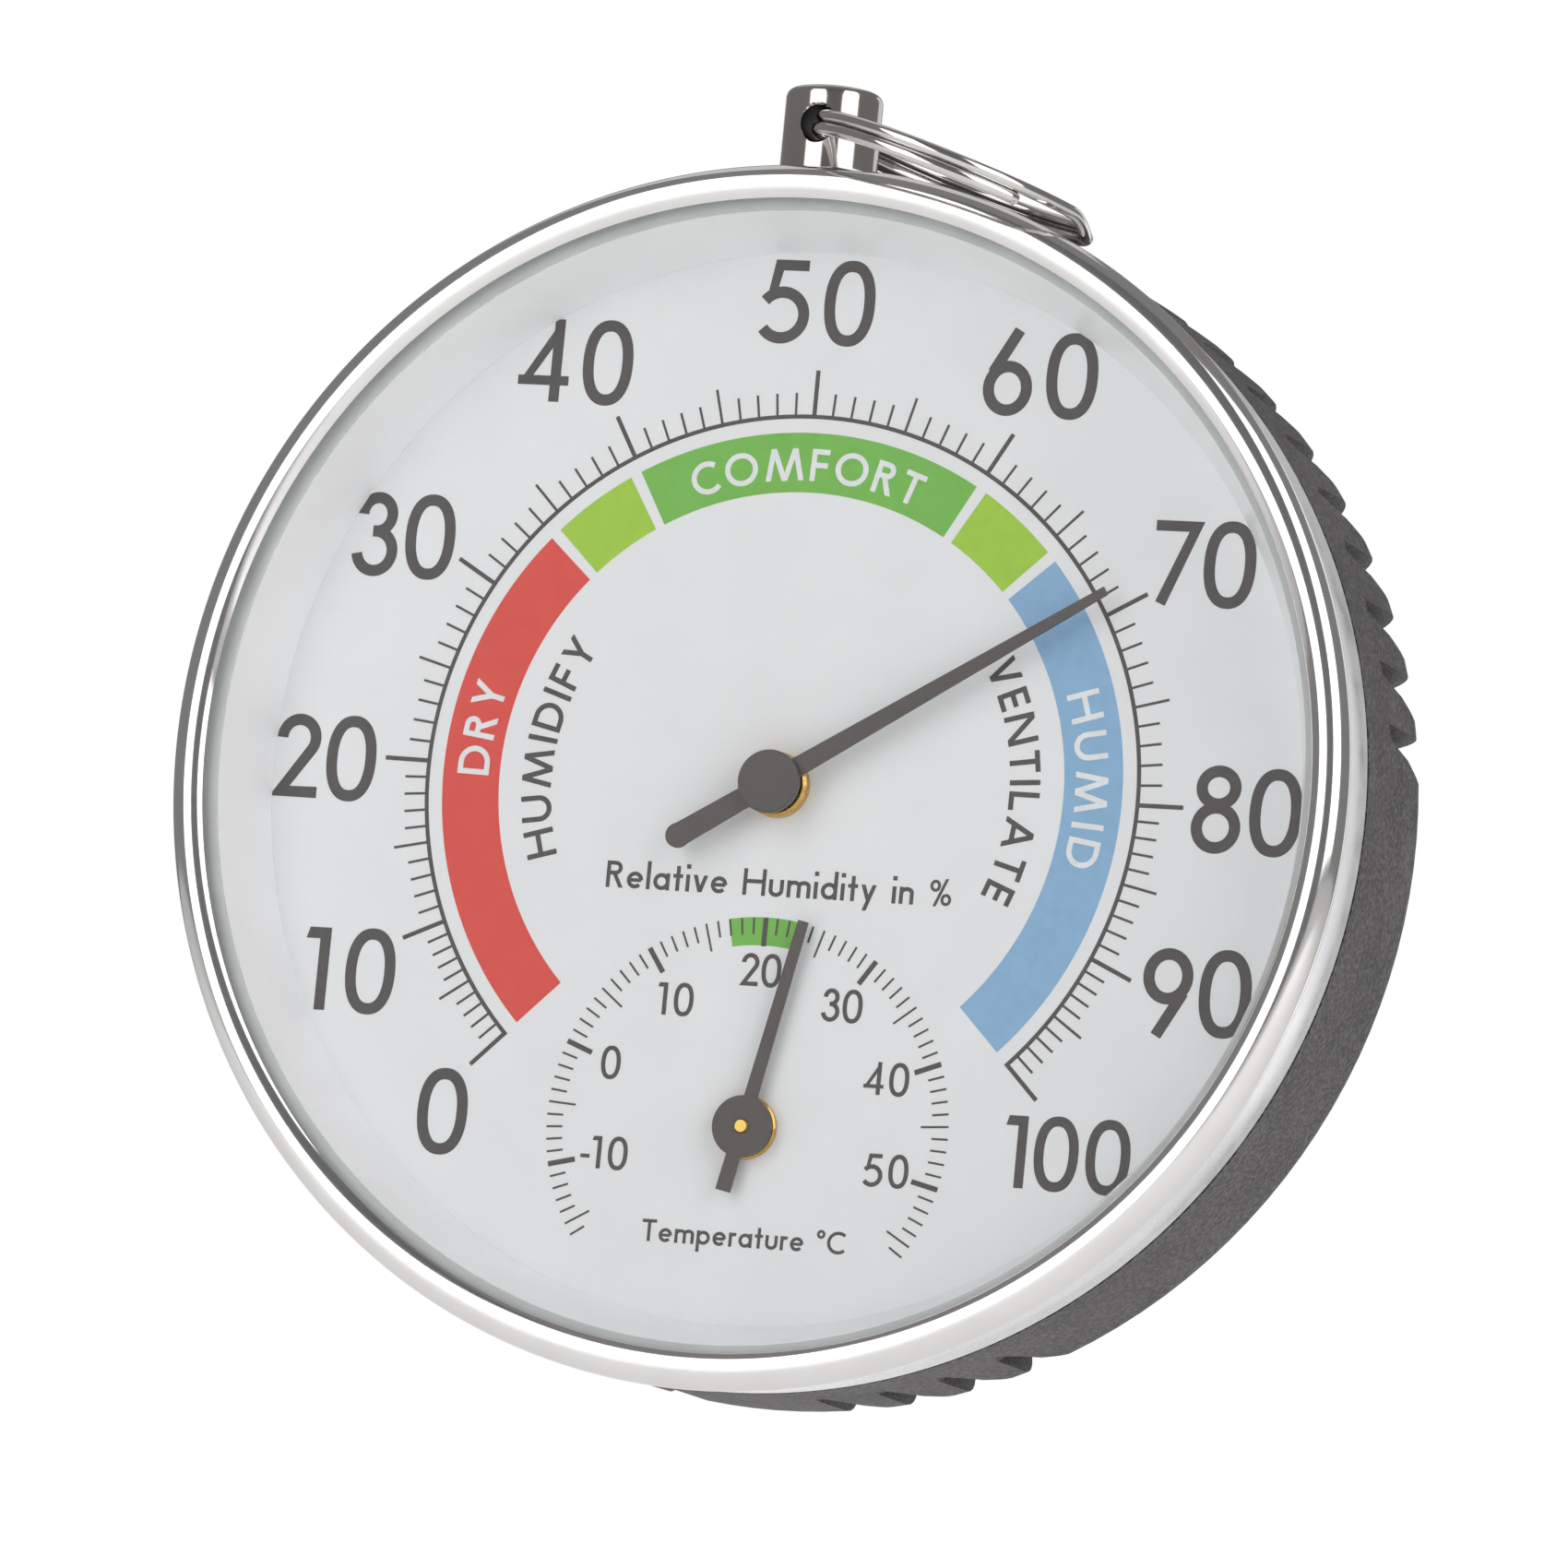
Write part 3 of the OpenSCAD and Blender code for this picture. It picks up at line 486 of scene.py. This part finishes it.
def number(text, cx, cy, cap, first_gap=None):
    """An upright number centred on a point."""
    glyphs = [figure(c) for c in text]
    gaps = [GAP_AFTER[c] for c in text[:-1]]
    if first_gap is not None:
        gaps[0] = first_gap
    total = sum(g[0] for g in glyphs) + sum(gaps)
    out, at = [], -total / 2
    for (width, polys), gap in zip(glyphs, gaps + [0]):
        out.append([[(cx + (at + px) * cap, cy + (py - 0.5) * cap) for px, py in poly]
                    for poly in polys])
        at += width + gap
    return out


# ---------------------------------------------------------------- the humidity scale

KNOTS = [-135, -114.5, -89, -59.5, -29.7, 0, 30, 60, 90, 114.4, 135]


def humidity_angle(value):
    i = min(int(value // 10), 9)
    return KNOTS[i] + (KNOTS[i + 1] - KNOTS[i]) * (value / 10 - i)


scale_marks = sector(0.883 * R, 0.893 * R, -135.35, 135.35)
for value in range(101):
    outer, width = ((1.0, 0.0105) if value % 10 == 0 else (0.976, 0.0065) if value % 5 == 0
                    else (0.945, 0.006))
    scale_marks.append(tick(humidity_angle(value), 0.888 * R, outer * R, width * R))

NUMBER_SPOTS = {"0": (-0.773, -0.817), "10": (-1.043, -0.491), "20": (-1.154, 0.02),
                "30": (-1.005, 0.565), "40": (-0.605, 1.003), "50": (-0.006, 1.164),
                "60": (0.563, 1.005), "70": (1.003, 0.569), "80": (1.155, -0.011),
                "90": (1.069, -0.441), "100": (0.787, -0.837)}
dark = [scale_marks]
for text, (x, y) in NUMBER_SPOTS.items():
    hundred = text == "100"
    place = turned((x * R, y * R), -HUNG)
    dark += number(text, *place, (0.17 if hundred else 0.199) * R, 0.118 if hundred else None)
dark += ring_of_text("HUMIDIFY", -106.1, -61, 0.572 * R, 0.075 * R)
dark += ring_of_text("VENTILATE", 60.8, 111.6, 0.572 * R, 0.075 * R)
dark += line_of_text("Relative Humidity in %", -0.41 * R, 0.453 * R, -0.264 * R)
dark += line_of_text("Temperature °C", -0.235 * R, 0.272 * R, -1.0986 * R)

HALF_GAP = 0.013 / 0.777 * 180 / math.pi
BANDS = {"red": [(-135, -47.1 - HALF_GAP)],
         "lime": [(-47.1 + HALF_GAP, -30.7 - HALF_GAP), (30.7 + HALF_GAP, 47.1 - HALF_GAP)],
         "green": [(-30.7 + HALF_GAP, 30.7 - HALF_GAP)],
         "blue": [(47.1 + HALF_GAP, 135)]}
white = (ring_of_text("DRY", -88.3, -76.4, 0.733 * R, 0.08 * R)
         + ring_of_text("COMFORT", -19.6, 19.7, 0.733 * R, 0.078 * R)
         + ring_of_text("HUMID", 72.9, 99, 0.733 * R, 0.08 * R))

# ---------------------------------------------------------------- the temperature scale


def on_thermo(groups):
    return [[[(x, y - THERMO_DOWN) for x, y in poly] for poly in group] for group in groups]


DEGREES_EACH = 3.45
thermo = []
for value in range(-16, 57):
    inner, width = ((0.432, 0.0125) if value % 10 == 0 else (0.432, 0.005) if value % 5 == 0
                    else (0.46, 0.005))
    thermo.append([tick((value - 20) * DEGREES_EACH, inner * R, 0.5 * R, width * R)])
THERMO_SPOTS = {"20": (0, 0.375), "10": (-0.207, 0.294), "30": (0.209, 0.302), "0": (-0.353, 0.134),
                "40": (0.336, 0.136), "-10": (-0.348, -0.081), "50": (0.356, -0.08)}
for text, (x, y) in THERMO_SPOTS.items():
    thermo += number(text, x * R, y * R, 0.077 * R)
comfort = [sector(0.434 * R, 0.501 * R, -3 * DEGREES_EACH, 3 * DEGREES_EACH)]

BAND_TOP, INK_TOP, OVER_BAND = 0.012, 0.02, 0.024
for colour, spans in BANDS.items():
    groups = [sector(0.7054 * R, 0.849 * R, *span) for span in spans]
    if colour == "green":
        groups += on_thermo(comfort)
    piece("print_" + colour, plate(groups, 0, BAND_TOP), "dial_white", "case", INKS[colour])
piece("print_scale_and_numbers", plate(dark, 0, INK_TOP), "dial_white", "case", INKS["dark"])
piece("print_band_words", plate(white, BAND_TOP - 0.002, OVER_BAND), "dial_white", "case",
      INKS["white"])
piece("print_temperature_scale", plate(on_thermo(thermo), 0.004, OVER_BAND), "dial_white", "case",
      INKS["dark"])

# ---------------------------------------------------------------- bezel

BEAD_R, BEAD_C, BEAD_Z, BAND_R, BAND_IN_R, LIP_Z = 1.73, 48.77, 7.05, 50.0, 49.4, 8.3


def bezel():
    start = -math.degrees(math.acos((BAND_R - BEAD_C) / BEAD_R))
    end = 180 - math.degrees(math.asin((LIP_Z - BEAD_Z) / BEAD_R))
    bead = arc(BEAD_C, BEAD_Z, BEAD_R, BEAD_R, start, end, 2.0, 44)
    profile = [(BAND_IN_R, 0.0), (BAND_R - 0.07, 0.0), (BAND_R - 0.02, 0.02), (BAND_R, 0.07)]
    marks = [1] * len(profile) + [0] * (len(bead) + 1)
    return lathe(profile + bead + [(BAND_IN_R, LIP_Z)], 384, marks)


bezel_piece = piece("bezel", bezel(), "bezel_chrome", "case", FINISHES["bezel_chrome"],
                    BAND_FINISH, smooth=28)
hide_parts("bezel_ring")

# ---------------------------------------------------------------- hanging stud and split ring

STUD_Z, STUD_R, STUD_FOOT, STUD_TOP, HOLE_UP, HOLE_R = 2.4, 4.05, 50.05, 57.6, 54.3, 1.5
RING_REST, RING_THROW, RING_LINE_R, WIRE_R = 17.8, 11.5965, 11.95, 0.535


def mesh_object(name, verts, faces):
    """A bare object with its faces turned outwards, for the boolean cut."""
    mesh = bpy.data.meshes.new(name)
    mesh.from_pydata(verts, [], faces)
    whole = bmesh.new()
    whole.from_mesh(mesh)
    bmesh.ops.recalc_face_normals(whole, faces=whole.faces)
    whole.to_mesh(mesh)
    whole.free()
    obj = bpy.data.objects.new(name, mesh)
    bpy.context.scene.collection.objects.link(obj)
    return obj


def revolved(place, profile, steps):
    """A solid of revolution from an open (radius, height) profile whose ends lie on the axis."""
    inner = profile[1:-1]
    n = len(inner)
    verts = [place(r * math.sin(2 * math.pi * i / steps), r * math.cos(2 * math.pi * i / steps), h)
             for i in range(steps) for r, h in inner]
    verts += [place(0, 0, profile[0][1]), place(0, 0, profile[-1][1])]
    low, high = len(verts) - 2, len(verts) - 1
    faces = []
    for i in range(steps):
        a, b = i * n, (i + 1) % steps * n
        faces.append((low, b, a))
        faces += [(a + k, b + k, b + k + 1, a + k + 1) for k in range(n - 1)]
        faces.append((a + n - 1, b + n - 1, high))
    return verts, faces


def in_bore(p):
    """True for a point on the wall of the stud's cross hole, whose faces get the dark painted
    shade.
    """
    across = math.hypot(p.x / MM, DIAL_Y - p.y / MM - STUD_Z)
    return across < STUD_R - 0.15 and abs(p.z / MM - HOLE_UP) < 2


def stud():
    """The stud's outer shape, with its cross hole cut and its edges softened."""
    edge = 0.8
    rise = [STUD_FOOT + 0.02 + (STUD_TOP - edge - STUD_FOOT) * i / 24 for i in range(25)]
    profile = ([(0, STUD_FOOT), (STUD_R - 0.1, STUD_FOOT), (STUD_R, STUD_FOOT + 0.1)]
               + [(STUD_R, h) for h in rise[1:]]
               + [(STUD_R - edge + r, STUD_TOP - edge + h)
                  for r, h in arc(0, 0, edge, edge, 8, 90, n=8)]
               + [(0, STUD_TOP)])
    body = mesh_object("stud_blank", *revolved(lambda a, b, h: row(a, h, STUD_Z + b), profile, 96))
    drill = [(0, -6.0), (HOLE_R + 1.9, -6.0), (HOLE_R + 1.9, -5.3)]
    drill += [(HOLE_R + 0.2, -STUD_R + 0.02), (HOLE_R, -STUD_R + 0.25)]
    drill += [(r, -h) for r, h in drill[::-1]]
    cutter = mesh_object("stud_drill", *revolved(
        lambda a, b, h: row(a, HOLE_UP + b, STUD_Z + h), drill, 64))
    cut = body.modifiers.new("hole", "BOOLEAN")
    cut.operation, cut.object, cut.solver = "DIFFERENCE", cutter, "EXACT"
    depsgraph = bpy.context.evaluated_depsgraph_get()
    made = bpy.data.meshes.new_from_object(body.evaluated_get(depsgraph))
    verts = [v.co.copy() for v in made.vertices]
    faces = [list(p.vertices) for p in made.polygons]
    bpy.data.objects.remove(body)
    bpy.data.objects.remove(cutter)
    return verts, faces, [int(in_bore(p.center)) for p in made.polygons]


# The cross hole's wall takes the near-black painted shade as the stud's second material.
stud_piece = piece("stud", stud(), "stud_steel", "case", FINISHES["stud_steel"],
                   BORE_PAINTED_SHADE, smooth=32)
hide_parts("hanging_stud")


def split_ring():
    """Nearly two turns of one wire: the lower turn's end shows in front, then it climbs over."""
    first, climb, climbed, last, sides = 44, 348, 374, 680, 20
    around_angles = [first + (last - first) * i / 220 for i in range(221)]
    trim = [(first - 0.9, 0.72)] + [(a, 1.0) for a in around_angles] + [(last + 0.9, 0.72)]
    verts = []
    for angle, size in trim:
        t = min(1, max(0, (angle - climb) / (climbed - climb)))
        shift = -WIRE_R + 2 * WIRE_R * (3 * t * t - 2 * t * t * t)
        a = math.radians(angle)
        for k in range(sides):
            b = 2 * math.pi * k / sides
            r = RING_LINE_R + WIRE_R * size * math.cos(b)
            p = (RING_THROW + r * math.cos(a), shift + WIRE_R * size * math.sin(b), r * math.sin(a))
            x, y = turned(p[:2], RING_REST)
            verts.append(row(x, HOLE_UP + y, STUD_Z + p[2]))
    faces = [[i * sides + k, i * sides + (k + 1) % sides,
              (i + 1) * sides + (k + 1) % sides, (i + 1) * sides + k]
             for i in range(len(trim) - 1) for k in range(sides)]
    faces += [list(range(sides))[::-1], list(range(len(verts) - sides, len(verts)))]
    return verts, faces


ring_piece = piece("ring", split_ring(), "ring_steel", "hanging_ring", FINISHES["ring_steel"],
                   smooth=40)
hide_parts("split_ring")

# ---------------------------------------------------------------- camera, floor and lights

# The camera's pose on the dial, fitted to the photograph: turns in degrees, lengths in units of R.
TURN_X, TURN_Y, TURN_Z = (math.radians(a) for a in (-7.056, 18.942, 4.988))
SHIFT_X, SHIFT_Y, NEARNESS, PIXELS_PER_R = -0.0121156, 0.0045825, 0.0412083, 457.968
IMAGE, SENSOR = 1700, 36.0


def to_row(v):
    return Vector((v[0], -v[2], v[1]))


looking = (Matrix.Rotation(TURN_Z, 3, "Z") @ Matrix.Rotation(TURN_X, 3, "X")
           @ Matrix.Rotation(TURN_Y, 3, "Y") @ Matrix.Diagonal((1, -1, -1))
           @ Matrix.Rotation(math.radians(-HUNG), 3, "Z"))
eye = -(looking.transposed() @ Vector((SHIFT_X, SHIFT_Y, 1 / NEARNESS))) * R
axes = [to_row(looking[0]), -to_row(looking[1]), -to_row(looking[2])]
camera = bpy.data.objects.new("camera", bpy.data.cameras.new("camera"))
bpy.context.scene.collection.objects.link(camera)
camera.data.lens = SENSOR * PIXELS_PER_R / NEARNESS / IMAGE
camera.data.sensor_width = SENSOR
camera.data.clip_start = 0.05
camera.data.clip_end = 50
camera.matrix_world = Matrix.Translation(row(*eye)) @ Matrix(axes).transposed().to_4x4()
bpy.context.scene.camera = camera
bpy.context.scene.view_settings.view_transform = "Standard"

target = row(0, 0, 5)
to_camera = (camera.matrix_world.translation - target).normalized()


def around(side, up):
    """A direction from the object, turned from the camera's by two angles in degrees."""
    right, top = axes[0], axes[1]
    s, u = math.radians(side), math.radians(up)
    return (to_camera * math.cos(s) * math.cos(u) + right * math.sin(s) * math.cos(u)
            + top * math.sin(u)).normalized()


def facing(obj, direction, distance):
    obj.location = target + direction * distance
    obj.rotation_mode = "QUATERNION"
    obj.rotation_quaternion = direction.to_track_quat("Z", "Y")
    obj.visible_camera = False
    bpy.context.scene.collection.objects.link(obj)


def softbox(name, side, up, distance, width, height, power):
    light = bpy.data.lights.new(name, "AREA")
    light.shape, light.size, light.size_y, light.energy = "RECTANGLE", width, height, power
    obj = bpy.data.objects.new(name, light)
    facing(obj, around(side, up), distance)


def flat_material(name, rgb, rough, glow):
    f = Finish(name, rgb, rough, Emission_Color=(1, 1, 1, 1), Emission_Strength=glow)
    f.mottle(f.noise(0.004, 2.0), 0.99, 1.01)
    return f


def stage_plane(name, size, rgb, glow=0.0, rough=0.9):
    mesh = bpy.data.meshes.new(name)
    h = size / 2
    mesh.from_pydata([(-h, -h, 0), (h, -h, 0), (h, h, 0), (-h, h, 0)], [], [(0, 1, 2, 3)])
    mesh.materials.append(flat_material(name, rgb, rough, glow).mat)
    obj = bpy.data.objects.new(name, mesh)
    return obj


FLOOR_SIZE, FLOOR_UP, FLOOR_GLOW = 12, -0.22, 0.3
floor = stage_plane("floor", FLOOR_SIZE, (245, 245, 245), FLOOR_GLOW)
floor.location = (0, 0, FLOOR_UP)
bpy.context.scene.collection.objects.link(floor)
# The grey card between the left and right softboxes gives the bead and the stud a dark line.
CARD_WIDTH, CARD_TALLNESS = 0.78, 2.1
card = stage_plane("dark_card", CARD_WIDTH, (125, 125, 127))
card.scale = (1, CARD_TALLNESS, 1)
facing(card, around(2.5, 38), 1.15)

# Name, side and up in degrees from the camera, distance, width and height in metres, watts.
softbox("left", -39, 31, 1.3, 1.0, 1.4, 7.7)
softbox("right", 42, 31, 1.3, 1.0, 1.4, 8.5)
softbox("low", 0, -32, 1.2, 2.8, 1.3, 17.5)
softbox("above", 180, 50, 2.0, 1.4, 1.4, 2.5)
softbox("behind_right", 142, 2, 1.2, 0.55, 0.9, 1.0)
softbox("behind_left", 182, -8, 1.2, 0.8, 0.9, 1.4)

# The camera sees a white backdrop, and the metal sees dim grey surroundings.
world = bpy.data.worlds.new("studio")
world.use_nodes = True
bpy.context.scene.world = world
wn, wl = world.node_tree.nodes, world.node_tree.links
wn.clear()
surroundings, backdrop = wn.new("ShaderNodeBackground"), wn.new("ShaderNodeBackground")
surroundings.inputs["Color"].default_value = (0.5, 0.5, 0.5, 1)
surroundings.inputs["Strength"].default_value = 0.45
backdrop.inputs["Color"].default_value = (1, 1, 1, 1)
seen = wn.new("ShaderNodeLightPath")
either = wn.new("ShaderNodeMixShader")
out = wn.new("ShaderNodeOutputWorld")
wl.new(seen.outputs["Is Camera Ray"], either.inputs["Fac"])
wl.new(surroundings.outputs["Background"], either.inputs[1])
wl.new(backdrop.outputs["Background"], either.inputs[2])
wl.new(either.outputs["Shader"], out.inputs["Surface"])
